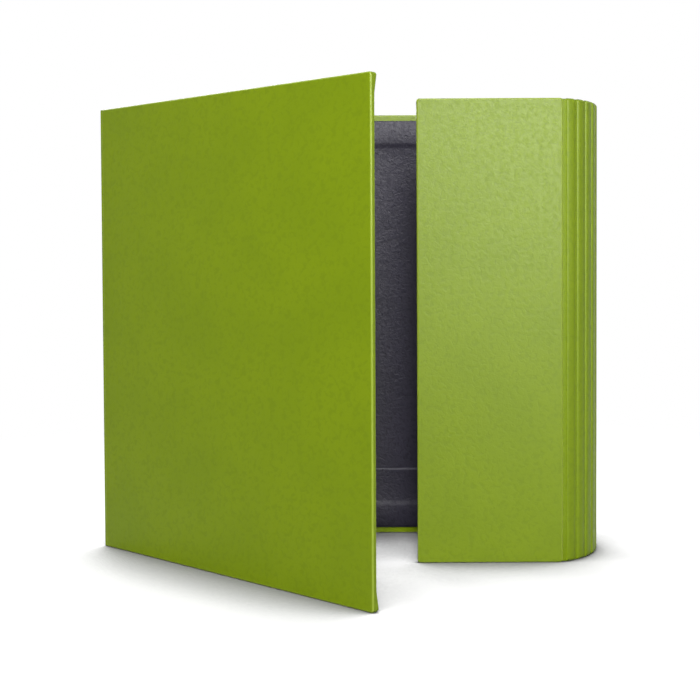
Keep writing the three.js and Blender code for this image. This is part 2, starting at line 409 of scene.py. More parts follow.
GREEN_FINISH = Leatherette(
    name="lime_leatherette",
    colour=(0.200, 0.286, 0.001),
    shade=(0.184, 0.268, 0.001),
    # painted shade darkening the grain's valleys
    crease=(0.160, 0.235, 0.001),
    # painted highlight along the rounded edges
    edge_highlight=(0.46, 0.57, 0.10),
    roughness=(0.38, 0.46),
    specular=0.16,
    wrinkles=320.0,
    strength=0.26,
)
LINER_FINISH = Leatherette(
    name="charcoal_leatherette",
    colour=(0.028, 0.025, 0.040),
    shade=(0.022, 0.020, 0.032),
    # painted shade darkening the grain's valleys
    crease=(0.012, 0.010, 0.018),
    # painted highlight along the rounded edges and the pocket's hem
    edge_highlight=(0.14, 0.135, 0.16),
    roughness=(0.48, 0.58),
    specular=0.22,
    pebbles=620.0,
    wrinkles=420.0,
    depth=0.0004,
)
CHROME_FINISH = PlatedMetal(
    name="bright_plate",
    colour=(0.60, 0.61, 0.63),
    shade=(0.54, 0.55, 0.57),
    roughness=(0.16, 0.28),
    grain=0.15,
)
STEEL_FINISH = PlatedMetal(
    name="satin_plate",
    colour=(0.42, 0.43, 0.45),
    shade=(0.36, 0.37, 0.39),
    roughness=(0.25, 0.45),
    grain=0.4,
)


class Finishes:
    """All the binder's materials, by slot."""

    def __init__(self) -> None:
        """Builds the shared groups and each material."""
        grain = LeatherGrain().build()
        handling = Handling().build()
        self.by_slot = {
            Slot.GREEN: GREEN_FINISH.build(grain, handling),
            Slot.LINER: LINER_FINISH.build(grain, handling),
            Slot.CHROME: CHROME_FINISH.build(handling),
            Slot.STEEL: STEEL_FINISH.build(handling),
        }

    def dress_node(self, node: str, slot: Slot) -> None:
        """Gives a CAD node its material.

        Args:
            node: the node's name.
            slot: the slot whose material it takes.
        """
        target = frame["nodes"][node]
        target.data.materials.clear()
        target.data.materials.append(self.by_slot[slot])


# Places and meshes


@dataclass(frozen=True)
class Place:
    """A board's own axes: along its heading from a hinge line, outward, and up."""

    x: float
    y: float
    heading: float
    chain: Chain

    def point(self, along: float, outward: float, height: float) -> Vector:
        """Turns a board's own coordinates into the frame's.

        Args:
            along: distance from the hinge line.
            outward: distance towards the outer face.
            height: distance above the floor.

        Returns:
            The point in the frame, in metres.
        """
        ahead = Vector((math.cos(self.heading), math.sin(self.heading), 0))
        side = Vector((-math.sin(self.heading), math.cos(self.heading), 0)) * self.chain.value
        base = Vector((self.x, self.y, height))
        return base + ahead * along + side * outward

    def outward(self) -> Vector:
        """Returns the direction that the outer face looks in."""
        return self.point(0, 1, 0) - self.point(0, 0, 0)


def joint_place(name: str) -> Vector:
    """Returns the rest place of a joint of the record."""
    for joint in frame["joints"]:
        if joint["name"] == name:
            return Vector(joint["pos_m"])
    raise KeyError(name)


def heading_between(first: Vector, second: Vector) -> float:
    """Returns the heading from one hinge line to the next, in radians."""
    return math.atan2(second.y - first.y, second.x - first.x)


def smooth(share: float) -> float:
    """Eases a share from 0 to 1, level at both ends."""
    return share * share * (3 - 2 * share)


def bridge(
    mesh: Mesh, first: Sequence[Vertex], second: Sequence[Vertex], closed: bool = False
) -> list[Face]:
    """Joins two rows of vertices with a band of faces.

    Args:
        mesh: the mesh.
        first: one row.
        second: the other row, just as long.
        closed: whether the rows are loops.

    Returns:
        The new faces.
    """
    faces = []
    for step in range(len(first) if closed else len(first) - 1):
        after = (step + 1) % len(first)
        faces.append(mesh.faces.new((first[step], first[after], second[after], second[step])))
    return faces


def close_sides(
    mesh: Mesh, front: Sequence[Sequence[Vertex]], rear: Sequence[Sequence[Vertex]]
) -> None:
    """Closes the four sides between two grids of vertices.

    Args:
        mesh: the mesh.
        front: one grid, row by row.
        rear: the other grid.
    """
    for end in (0, -1):
        bridge(mesh, front[end], rear[end])
    for end in (0, -1):
        bridge(mesh, [row[end] for row in front], [row[end] for row in rear])


def new_object(name: str, data: bpy.types.ID) -> Object:
    """Adds a new object to the scene."""
    target = bpy.data.objects.new(name, data)
    bpy.context.scene.collection.objects.link(target)
    return target


def finish_object(
    name: str, mesh: Mesh, materials: Sequence[Material], weighted: bool = True
) -> Object:
    """Turns a bmesh into a smooth shaded object.

    Args:
        name: the object's name.
        mesh: the mesh, which is freed.
        materials: its materials in order.
        weighted: whether large flat faces keep their own normals.

    Returns:
        The new object.
    """
    bmesh.ops.recalc_face_normals(mesh, faces=mesh.faces)
    data = bpy.data.meshes.new(name)
    for face in mesh.faces:
        face.smooth = True
    mesh.to_mesh(data)
    mesh.free()
    for material in materials:
        data.materials.append(material)
    target = new_object(name, data)
    if weighted:
        modifier = target.modifiers.new("flat_faces", "WEIGHTED_NORMAL")
        modifier.weight = FLAT_FACE_WEIGHT
    return target


@dataclass(frozen=True)
class BoardSize:
    """The extent of one wrapped board on its own axes, in metres.

    The corner radius rounds the board's outline. The swelling is where the turned-in leatherette
    is doubled on the inner side of the corners at the end edge. The crown is how much lower the
    outer face lies at its sides than along its middle. An edge has its points at stops, counted
    in equal parts of its length, which are closer together near the corners.
    """

    start: float
    end: float
    inner: float
    outer: float
    bottom: float
    top: float
    radius: float = 1.1 * MM
    segments: int = 5
    corner: float = 1.8 * MM
    corner_steps: int = 5
    sharpest_corner: float = 0.04 * MM
    edge_parts: int = 30
    edge_stops: tuple[int, ...] = (1, 2, 4, 7, 11, 15, 19, 23, 26, 28, 29)
    swelling: float = 0
    swelling_reach: float = 13 * MM
    swelling_loops: tuple[float, ...] = (2.5 * MM, 5 * MM, 9 * MM)
    crown: float = 0
    crown_loops: tuple[float, ...] = (0.2, 0.4, 0.6, 0.8)
    # how strongly the rounded edges take the painted edge highlight
    worn: float = 1

    def outline(self, inset: float) -> list[Pair]:
        """Lists the outline's points, drawn in by an inset.

        Args:
            inset: how far the outline is drawn in.

        Returns:
            Points along the board and up, always the same number.
        """
        turn = max(self.corner - inset, self.sharpest_corner)
        reach = inset + turn
        points = []
        low, high = self.start + reach, self.end - reach
        bottom, top = self.bottom + reach, self.top - reach
        centres = ((high, bottom, 270), (high, top, 0), (low, top, 90), (low, bottom, 180))
        for index, (along, height, begin) in enumerate(centres):
            for step in range(self.corner_steps + 1):
                angle = math.radians(begin + 90 * step / self.corner_steps)
                points.append((along + turn * math.cos(angle), height + turn * math.sin(angle)))
            next_along, next_height, _ = centres[(index + 1) % len(centres)]
            shift, lift = turn * math.cos(angle), turn * math.sin(angle)
            for stop in self.edge_stops:
                share = stop / self.edge_parts
                across = along + (next_along - along) * share + shift
                points.append((across, height + (next_height - height) * share + lift))
        return points

    def swell(self, along: float, height: float) -> float:
        """Gives how far the doubled leatherette stands up at a place on the inner side."""
        rise = 0.0
        for corner in (self.bottom, self.top):
            distance = math.hypot(self.end - along, corner - height)
            share = max(1 - distance / self.swelling_reach, 0)
            rise += self.swelling * smooth(share)
        return rise

    def drop(self, inset: float) -> float:
        """Gives how far the crowned outer face falls at an inset from its edge."""
        return self.crown * (1 - inset * 2 / (self.end - self.start)) ** 2

    def levels(self) -> list[Triple]:
        """Lists the board's loops from the inner face to the outer face.

        Returns:
            Each loop's inset, its place outward and how much painted edge highlight it takes.
        """
        turns = [QUARTER_TURN * step / self.segments for step in range(self.segments + 1)]
        loops = self.swelling_loops if self.swelling else ()
        rows = [(self.radius + loop, self.inner, 0.0) for loop in reversed(loops)]
        # the painted edge highlight is strongest halfway round each rounded edge
        for turn in turns:
            inset = self.radius * (1 - math.sin(turn))
            depth = self.radius * (1 - math.cos(turn))
            rows.append((inset, self.inner + depth, self.worn * math.sin(2 * turn)))
        for turn in reversed(turns):
            inset = self.radius * (1 - math.sin(turn))
            depth = self.radius * (1 - math.cos(turn)) + self.drop(inset)
            rows.append((inset, self.outer - depth, self.worn * math.sin(2 * turn)))
        if self.crown:
            half = (self.end - self.start) / 2
            for share in self.crown_loops:
                inset = self.radius + (half - self.radius) * share
                rows.append((inset, self.outer - self.drop(inset), 0.0))
        return rows


def board_mesh(size: BoardSize, place: Place, lined: bool = False) -> Mesh:
    """Makes a board with rounded edges and corners.

    Args:
        size: the board's extent.
        place: the board's own axes.
        lined: whether the inner half takes the second material.

    Returns:
        The mesh in the frame's axes.
    """
    mesh = bmesh.new()
    layer = mesh.verts.layers.float.new(EDGE_LAYER)
    middle = (size.inner + size.outer) / 2
    loops = []
    for inset, outward, worn in size.levels():
        loop = []
        for along, height in size.outline(inset):
            lift = size.swell(along, height) if outward < middle else 0
            vertex = mesh.verts.new((along, outward - lift, height))
            # the vertex carries its share of the painted edge highlight
            vertex[layer] = worn
            loop.append(vertex)
        loops.append(loop)
    for first, second in zip(loops, loops[1:]):
        bridge(mesh, first, second, closed=True)
    mesh.faces.new(loops[0])
    mesh.faces.new(loops[-1])
    if lined:
        for face in mesh.faces:
            inside = all(vertex.co.y < middle for vertex in face.verts)
            face.material_index = 1 if inside else 0
    for vertex in mesh.verts:
        vertex.co = place.point(*vertex.co)
    return mesh


@dataclass(frozen=True)
class LinerRelief:
    """How the turned-in edges of the wrap show through the lining, in metres.

    The stops are shares of the rounded edge and of the slope at which the sheet has a grid line.
    """

    border: float = 15 * MM
    slope: float = 4.5 * MM
    sink: float = 1.25 * MM
    edge: float = 0.5 * MM
    step: float = 12 * MM
    edge_stop: float = 0.3
    slope_stops: tuple[float, ...] = (0.25, 0.5, 0.75, 1.0)

    def stations(self, low: float, high: float) -> list[float]:
        """Lists the grid lines across one direction of the sheet.

        Args:
            low: one edge of the sheet.
            high: the other edge.

        Returns:
            Rising positions, dense where the surface turns.
        """
        near = [0, self.edge * self.edge_stop, self.edge, self.border]
        near += [self.border + self.slope * stop for stop in self.slope_stops]
        first = [low + step for step in near]
        last = [high - step for step in reversed(near)]
        middle = last[0] - first[-1]
        count = max(int(middle / self.step), 1)
        inside = [first[-1] + middle * index / count for index in range(1, count)]
        return first + inside + last

    def rounding(self, distance: float) -> float:
        """Gives how far a sheet's rounded edge falls back at a distance from it."""
        if distance >= self.edge:
            return 0.0
        return self.edge * (1 - math.sqrt(max(0, 1 - (1 - distance / self.edge) ** 2)))

    def valley(self, distance: float) -> float:
        """Gives how far the middle of a sheet is sunk at a distance from its edge."""
        return self.sink * smooth(min(max((distance - self.border) / self.slope, 0), 1))


def reach_inside(column: float, height: float, extent: Extent) -> float:
    """Returns the distance from a place on a sheet to the nearest edge of an extent."""
    along, heights = extent
    reach = min(column - along[0], along[1] - column, height - heights[0], heights[1] - height)
    return max(reach, 0)


def sheet_mesh(
    grid: tuple[Sequence[float], Sequence[float]],
    surface: Callable[[float, float], tuple[Vector, Vector]],
    hem: float = 0,
) -> Mesh:
    """Makes a closed sheet over a grid.

    Args:
        grid: the rising positions along the board and up.
        surface: gives the front and the rear point at a place of the grid.
        hem: how far the painted highlight along the hem reaches down from the upper edge.

    Returns:
        The closed mesh in the frame's axes.
    """
    columns, rows = grid
    mesh = bmesh.new()
    layer = mesh.verts.layers.float.new(EDGE_LAYER)
    front = []
    rear = []
    for height in rows:
        spots = [surface(column, height) for column in columns]
        front.append([mesh.verts.new(ahead) for ahead, _ in spots])
        rear.append([mesh.verts.new(behind) for _, behind in spots])
        # the front of the hem takes the painted edge highlight
        for vertex in front[-1]:
            vertex[layer] = 1.0 if rows[-1] - height < hem else 0.0
    for side in (front, rear):
        for first, second in zip(side, side[1:]):
            bridge(mesh, first, second)
    close_sides(mesh, front, rear)
    return mesh


def liner_mesh(place: Place, extent: Extent, face: float, back: float) -> Mesh:
    """Makes a lining sheet with a sunk middle and rounded edges.

    Args:
        place: the board's own axes.
        extent: the sheet's extent along the board and upwards.
        face: the outward coordinate of its front, which looks inward.
        back: the outward coordinate of its glued side.

    Returns:
        The closed mesh in the frame's axes.
    """
    relief = LinerRelief()
    towards = math.copysign(1, back - face)

    def surface(column: float, height: float) -> tuple[Vector, Vector]:
        """Gives the sheet's front and glued points."""
        reach = reach_inside(column, height, extent)
        depth = face + (relief.rounding(reach) + relief.valley(reach)) * towards
        return place.point(column, depth, height), place.point(column, back, height)

    grid = (relief.stations(*extent[0]), relief.stations(*extent[1]))
    return sheet_mesh(grid, surface)


def bezier(points: Sequence[Vector], share: float) -> Vector:
    """Returns the point of a Bezier curve of any degree at a share of its length."""
    layer = list(points)
    while len(layer) > 1:
        layer = [first.lerp(second, share) for first, second in zip(layer, layer[1:])]
    return layer[0]


@dataclass(frozen=True)
class SoftFold:
    """A strip of leatherette and lining that crosses a hinge line.

    Its ends are rounded by a share of the thickness, through the end turns in degrees.
    """

    name: str
    bodies: tuple[str, str]
    thickness: float = 1.0 * MM
    steps: int = 12
    rows: int = 14
    end_share: float = 0.45
    end_turns: tuple[float, ...] = (0, 30, 60, 90)
    blend_reach: float = 1.2 * MM

    def build(
        self, controls: Sequence[Vector], outward: Sequence[Vector], heights: Pair
    ) -> Mesh:
        """Makes the strip along a smooth curve, green outside and dark inside.

        Args:
            controls: the Bezier controls of the strip's outer skin, in the frame.
            outward: the outward directions at the two ends.
            heights: the strip's lower and upper ends.

        Returns:
            The closed mesh.
        """
        mesh = bmesh.new()
        skin = []
        lining = []
        for height, inset in self.levels(*heights):
            skin.append([])
            lining.append([])
            for index in range(self.steps + 1):
                share = index / self.steps
                spot = bezier(controls, share) + Vector((0, 0, height))
                side = outward[0].slerp(outward[1], share)
                skin[-1].append(mesh.verts.new(spot - side * inset))
                lining[-1].append(mesh.verts.new(spot - side * (self.thickness - inset)))
        for material, grid in enumerate((skin, lining)):
            for first, second in zip(grid, grid[1:]):
                for face in bridge(mesh, first, second):
                    face.material_index = material
        close_sides(mesh, skin, lining)
        return mesh

    def levels(self, bottom: float, top: float) -> list[Pair]:
        """Lists heights with how far the skin draws in at each, so that the ends are rounded.

        Args:
            bottom: the strip's lower end.
            top: its upper end.

        Returns:
            Pairs of a height and an inset.
        """
        radius = self.thickness * self.end_share
        low = []
        for angle in self.end_turns:
            rise = radius * (1 - math.cos(math.radians(angle)))
            inset = radius * (1 - math.sin(math.radians(angle)))
            low.append((bottom + rise, inset))
        gap = top - bottom - 2 * radius
        stops = range(1, self.rows)
        middle = [(bottom + radius + gap * index / self.rows, 0.0) for index in stops]
        high = [(bottom + top - height, inset) for height, inset in reversed(low)]
        return low + middle + high


# Sub-assemblies of the binder


@dataclass(frozen=True)
class CaseSizes:
    """Sizes that the boards share, in metres."""

    height: float = 292.1 * MM
    board: float = 3.5 * MM
    outer_web: float = 0.6 * MM
    rib_outer: float = 3.0 * MM
    rib_inner: float = 0.5 * MM
    hinge_margin: float = 4.8 * MM
    strip_margin: float = 2.0 * MM
    rib_margin: float = 0.8 * MM
    glue_gap: float = 0.3 * MM
    liner: float = 1.2 * MM
    liner_inset: float = 4.2 * MM
    cover_width: float = 240 * MM
    flap_width: float = 92.5 * MM
    rib_count: int = 12
    swelling: float = 1.9 * MM

    @property
    def liner_heights(self) -> Pair:
        """The lower and upper edges of each lining sheet."""
        return self.liner_inset, self.height - self.liner_inset

    @property
    def liner_span(self) -> Pair:
        """The front and the glued side of a left-hand lining sheet, outward."""
        glued = self.outer_web - self.board
        return glued - self.glue_gap - self.liner, glued

    def board_size(self, chain: Chain, start: float, end: float, **shape: float) -> BoardSize:
        """Gives the extent of a board as tall as the case.

        Args:
            chain: left for the spine and the cover, right for the fore-edge.
            start: its near edge.
            end: its far edge.
            shape: the extent's other fields.

        Returns:
            The extent.
        """
        if chain is Chain.LEFT:
            faces = (self.outer_web - self.board, self.outer_web)
        else:
            faces = (-self.rib_inner, self.rib_outer)
        return BoardSize(start, end, *faces, 0, self.height, **shape)


class Maker:
    """Adds finished pieces to the scene and reports them."""

    def __init__(self, finishes: Finishes) -> None:
        """Keeps the materials that the pieces take."""
        self.finishes = finishes

    def add(
        self,
        name: str,
        mesh: Mesh,
        slots: Sequence[Slot],
        body: str,
        nodes: Sequence[str] = (),
        weighted: bool = True,
    ) -> None:
        """Adds a piece that rides on one body.

        Args:
            name: the piece's name.
            mesh: its mesh.
            slots: its material slots in order.
            body: the body that it rides on.
            nodes: the CAD nodes that it stands for.
            weighted: whether large flat faces keep their own normals.
        """
        materials = [self.finishes.by_slot[slot] for slot in slots]
        piece = finish_object(name, mesh, materials, weighted)
        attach(piece, body)
        self.declare(slots[0], nodes)
        LOG.info("%s rides on %s", name, body)

    def declare(self, slot: Slot, nodes: Sequence[str]) -> None:
        """Hides the CAD nodes that a piece stands for.

        Args:
            slot: the slot that it takes its finish from; not used.
            nodes: the CAD nodes, if there are any.
        """
        if nodes:
            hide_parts(*nodes)

    def add_lining(self, name: str, mesh: Mesh, body: str, nodes: Sequence[str]) -> None:
        """Adds a lining sheet.

        Args:
            name: the sheet's name.
            mesh: its mesh.
            body: the body that it rides on.
            nodes: the CAD nodes that it stands for.
        """
        self.add(name, mesh, (Slot.LINER,), body, nodes, weighted=False)

    def add_fold(
        self,
        fold: SoftFold,
        mesh: Mesh,
        start: Vector,
        end: Vector,
        nodes: Sequence[str] = (),
    ) -> None:
        """Adds a strip that lies across the hinge between two bodies, fixed in place and riding on
        neither.

        Args:
            fold: the strip's sizes and bodies.
            mesh: its mesh.
            start: the point where the first body's hold ends; not used.
            end: the point where the second body's hold starts; not used.
            nodes: the CAD nodes that it stands for.
        """
        materials = [self.finishes.by_slot[slot] for slot in (Slot.GREEN, Slot.LINER)]
        piece = finish_object(fold.name, mesh, materials, weighted=False)
        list(fold.bodies)
        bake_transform(piece)
        self.declare(Slot.GREEN, nodes)
        LOG.info("%s bends between %s and %s", fold.name, *fold.bodies)


@dataclass
class LeftSide:
    """The back's spine hinge, the spine, the soft strip and the front cover."""

    sizes: CaseSizes
    maker: Maker
    sink: float = 0.5 * MM
    bead: float = 0.4 * MM
    crease: float = 1.0 * MM
    overlap: float = 1.2 * MM
    places: dict[str, Place] = field(default_factory=dict)
    spine_length: float = 0.0

    def build(self) -> None:
        """Builds every piece of the left side."""
        self.find_places()
        self.spine()
        self.cover()
        self.folds()

    def find_places(self) -> None:
        """Works out each board's axes from the joints."""
        back = joint_place("spine_fold")
        strip = joint_place("strip_fold")
        cover = joint_place("cover_fold")
        spine_heading = heading_between(back, strip)
        strip_heading = heading_between(strip, cover)
        self.places = {
            "back": Place(back.x, back.y, 0, Chain.RIGHT),
            "spine": Place(back.x, back.y, spine_heading, Chain.LEFT),
            "strip": Place(strip.x, strip.y, strip_heading, Chain.LEFT),
            "cover": Place(cover.x, cover.y, strip_heading + QUARTER_TURN, Chain.LEFT),
        }
        self.spine_length = (strip - back).length

    def board(self, key: str, start: float, end: float, swelling: float = 0) -> Mesh:
        """Makes the wrapped board between two distances from its hinge line.

        Args:
            key: which board's axes to use.
            start: the near edge.
            end: the far edge.
            swelling: the height of the doubled leatherette at the far corners.

        Returns:
            The board's mesh.
        """
        size = self.sizes.board_size(Chain.LEFT, start, end, swelling=swelling)
        return board_mesh(size, self.places[key])

    def liner(self, key: str, start: float, end: float) -> Mesh:
        """Makes the lining sheet of a board on the left.

        Args:
            key: which board's axes to use.
            start: the near edge.
            end: the far edge.

        Returns:
            The sheet's mesh.
        """
        front, glued = self.sizes.liner_span
        extent = ((start, end), self.sizes.liner_heights)
        return liner_mesh(self.places[key], extent, front, glued)

    def spine(self) -> None:
        """Builds the spine board and its lining."""
        start = self.sizes.hinge_margin
        end = self.spine_length - self.sizes.strip_margin
        self.maker.add(
            "spine_board", self.board("spine", start, end), (Slot.GREEN,), "spine", ["spine_cover"]
        )
        sheet = self.liner("spine", start, end)
        self.maker.add_lining("spine_lining", sheet, "spine", ["spine_liner"])

    def cover(self) -> None:
        """Builds the wide front board and its lining."""
        start = self.sizes.strip_margin
        end = self.sizes.cover_width
        mesh = self.board("cover", start, end, self.sizes.swelling)
        self.maker.add("front_board", mesh, (Slot.GREEN,), "front", ["front_cover"])
        sheet = self.liner("cover", start, end - self.sizes.liner_inset)
        self.maker.add_lining("front_lining", sheet, "front", ["front_liner"])

    def folds(self) -> None:
        """Builds the soft strips over the spine hinge and both edges of the hinge strip."""
        outer = self.sizes.outer_web - self.sink
        margin = self.sizes.hinge_margin + self.overlap
        back = self.places["back"]
        spine = self.places["spine"]
        self.fold(
            SoftFold("spine_crease", ("back", "spine")),
            [back.point(margin, outer, 0), back.point(0, outer, 0)],
            [spine.point(0, outer, 0), spine.point(margin, outer, 0)],
            (back.outward(), spine.outward()),
            joint_place("spine_fold"),
        )
        strip = self.places["strip"]
        cover = self.places["cover"]
        near = self.spine_length - self.sizes.strip_margin - self.overlap
        half = (joint_place("cover_fold") - joint_place("strip_fold")).length / 2
        level = self.sizes.outer_web
        high = level + self.bead
        low = level - self.crease
        self.fold(
            SoftFold("strip_inner_half", ("spine", "hinge_strip")),
            [spine.point(near, low, 0), spine.point(self.spine_length, high, 0)],
            [strip.point(0, high, 0), strip.point(half, level, 0)],
            (spine.outward(), strip.outward()),
            joint_place("strip_fold"),
            ["cover_hinge_strip"],
        )
        far = self.sizes.strip_margin + self.overlap
        self.fold(
            SoftFold("strip_outer_half", ("hinge_strip", "front")),
            [strip.point(half, level, 0), strip.point(2 * half, high, 0)],
            [cover.point(0, high, 0), cover.point(far, low, 0)],
            (strip.outward(), cover.outward()),
            joint_place("cover_fold"),
        )

    def fold(
        self,
        fold: SoftFold,
        first: Sequence[Vector],
        second: Sequence[Vector],
        outward: Sequence[Vector],
        hinge: Vector,
        nodes: Sequence[str] = (),
    ) -> None:
        """Builds one soft strip that crosses a hinge line.

        Args:
            fold: the strip's sizes and bodies.
            first: two controls on the first body.
            second: two controls on the second body.
            outward: the outward directions at the two ends.
            hinge: a point of the hinge line.
            nodes: the CAD nodes that it stands for.
        """
        mesh = fold.build([*first, *second], outward, (0, self.sizes.height))
        before = (first[0] - first[1]).normalized() * fold.blend_reach
        after = (second[1] - second[0]).normalized() * fold.blend_reach
        self.maker.add_fold(fold, mesh, hinge + before, hinge + after, nodes)


@dataclass
class BackBoard:
    """The back board with its lining and the low pocket.

    The hem loops are the pocket's grid lines below its upper edge.
    """

    sizes: CaseSizes
    maker: Maker
    pocket_edge: float = 0.4 * MM
    pocket_overlap: float = 0.15 * MM
    # how far down from the pocket's upper edge the painted highlight reaches
    pocket_hem: float = 1.11 * MM
    hem_loops: tuple[float, ...] = (1.6 * MM, 1.1 * MM, 0.4 * MM, 0.15 * MM, 0)

    def build(self) -> None:
        """Builds the back's pieces."""
        place = Place(0, 0, 0, Chain.RIGHT)
        low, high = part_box("back_liner")
        board_low, board_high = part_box("back_cover")
        half = self.sizes.board / 2
        size = BoardSize(low[0], high[0], -half, half, board_low[2], board_high[2])
        board = board_mesh(size, place)
        self.maker.add("back_board", board, (Slot.GREEN,), "back", ["back_cover"])
        extent = ((low[0], high[0]), (low[2], high[2]))
        sheet = liner_mesh(place, extent, low[1], -half)
        self.maker.add_lining("back_lining", sheet, "back", ["back_liner"])
        self.maker.add_lining("pocket_sheet", self.pocket(place, extent), "back", ["back_pocket"])

    def pocket(self, place: Place, lining: Extent) -> Mesh:
        """Makes the pocket sheet, which lies in the lining's relief.

        Args:
            place: the back's own axes.
            lining: the lining's extent.

        Returns:
            The sheet's mesh.
        """
        relief = LinerRelief(edge=self.pocket_edge)
        low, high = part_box("back_pocket")
        own = ((low[0], high[0]), (low[2], high[2]))

        def surface(column: float, height: float) -> tuple[Vector, Vector]:
            """Gives the pocket's front point and the point where it meets the lining."""
            valley = relief.valley(reach_inside(column, height, lining))
            front = low[1] + relief.rounding(reach_inside(column, height, own)) + valley
            rear = high[1] + self.pocket_overlap + valley
            return place.point(column, front, height), place.point(column, rear, height)

        hem = [high[2] - loop for loop in self.hem_loops]
        below = [low[2], low[2] + self.pocket_edge * relief.edge_stop, low[2] + self.pocket_edge]
        upward = [row for row in relief.stations(*lining[1]) if below[-1] < row < hem[0]]
        grid = (relief.stations(*own[0]), [*below, *upward, *hem])
        return sheet_mesh(grid, surface, self.pocket_hem)


@dataclass
class ForeEdge:
    """The twelve strips of the curved fore-edge, the grooves between them and the flap."""

    sizes: CaseSizes
    maker: Maker
    strip_inset: float = 0.3 * MM
    strip_radius: float = 1.7 * MM
    strip_crown: float = 0.5 * MM
    groove_depth: float = 1.1 * MM
    groove_steps: int = 8
    groove_end: float = 0.4 * MM
    groove_hold: float = 0.6 * MM

    def build(self) -> None:
        """Builds the strips, the flap and the grooves."""
        names = ["fore_edge_fold"]
        names += [f"rib_{index}_fold" for index in range(2, self.sizes.rib_count + 1)]
        names.append("flap_fold")
        hinges = [joint_place(name) for name in names]
        places = [Place(hinges[0].x, hinges[0].y, 0, Chain.RIGHT)]
        for here, after in zip(hinges, hinges[1:]):
            places.append(Place(here.x, here.y, heading_between(here, after), Chain.RIGHT))
        places.append(Place(hinges[-1].x, hinges[-1].y, math.pi, Chain.RIGHT))
        self.strips(places[1:-1], (hinges[1] - hinges[0]).length)
        self.flap(places[-1])
        self.grooves(places, hinges)

    def strips(self, places: Sequence[Place], pitch: float) -> None:
        """Builds each board strip.

        Args:
            places: the strips' own axes.
            pitch: the distance between two hinge lines.
        """
        for index, place in enumerate(places, start=1):
            size = self.sizes.board_size(
                Chain.RIGHT,
                self.strip_inset,
                pitch - self.strip_inset,
                radius=self.strip_radius,
                corner=self.strip_radius,
                crown=self.strip_crown,
                # the strips take no painted edge highlight
                worn=0,
            )
            mesh = board_mesh(size, place, lined=True)
            slots = (Slot.GREEN, Slot.LINER)
            node = f"fore_edge_rib_{index}"
            self.maker.add(f"strip_{index}", mesh, slots, f"rib_{index}", [node], weighted=False)

    def flap(self, place: Place) -> None:
        """Builds the front flap and its lining.

        Args:
            place: the flap's own axes.
        """
        start, end = self.sizes.rib_margin, self.sizes.flap_width
        size = self.sizes.board_size(Chain.RIGHT, start, end, swelling=self.sizes.swelling)
        board = board_mesh(size, place)
        self.maker.add("flap_board", board, (Slot.GREEN,), "flap", ["front_flap"])
        front = -self.sizes.rib_inner - self.sizes.glue_gap - self.sizes.liner
        extent = ((start, end - self.sizes.liner_inset), self.sizes.liner_heights)
        sheet = liner_mesh(place, extent, front, -self.sizes.rib_inner)
        self.maker.add_lining("flap_lining", sheet, "flap", ["flap_liner"])

    def grooves(self, places: Sequence[Place], hinges: Sequence[Vector]) -> None:
        """Builds the leatherette pressed down between neighbouring strips.

        Args:
            places: the axes of the back, the strips and the flap.
            hinges: the hinge lines between them.
        """
        count = self.sizes.rib_count
        bodies = ["back", *[f"rib_{index}" for index in range(1, count + 1)], "flap"]
        reach = self.strip_inset + self.strip_radius
        level = self.sizes.rib_outer - self.groove_depth
        pitch = (hinges[1] - hinges[0]).length
        heights = (self.groove_end, self.sizes.height - self.groove_end)
        for index, hinge in enumerate(hinges):
            before = places[index]
            after = places[index + 1]
            base = 0 if index == 0 else pitch
            pair = (bodies[index], bodies[index + 1])
            fold = SoftFold(f"groove_{index + 1}", pair, steps=self.groove_steps)
            controls = [
                before.point(base - reach, level, 0),
                before.point(base, level, 0),
                after.point(reach, level, 0),
            ]
            mesh = fold.build(controls, (before.outward(), after.outward()), heights)
            start = hinge + (before.point(-self.groove_hold, 0, 0) - before.point(0, 0, 0))
            end = hinge + (after.point(self.groove_hold, 0, 0) - after.point(0, 0, 0))
            self.maker.add_fold(fold, mesh, start, end)


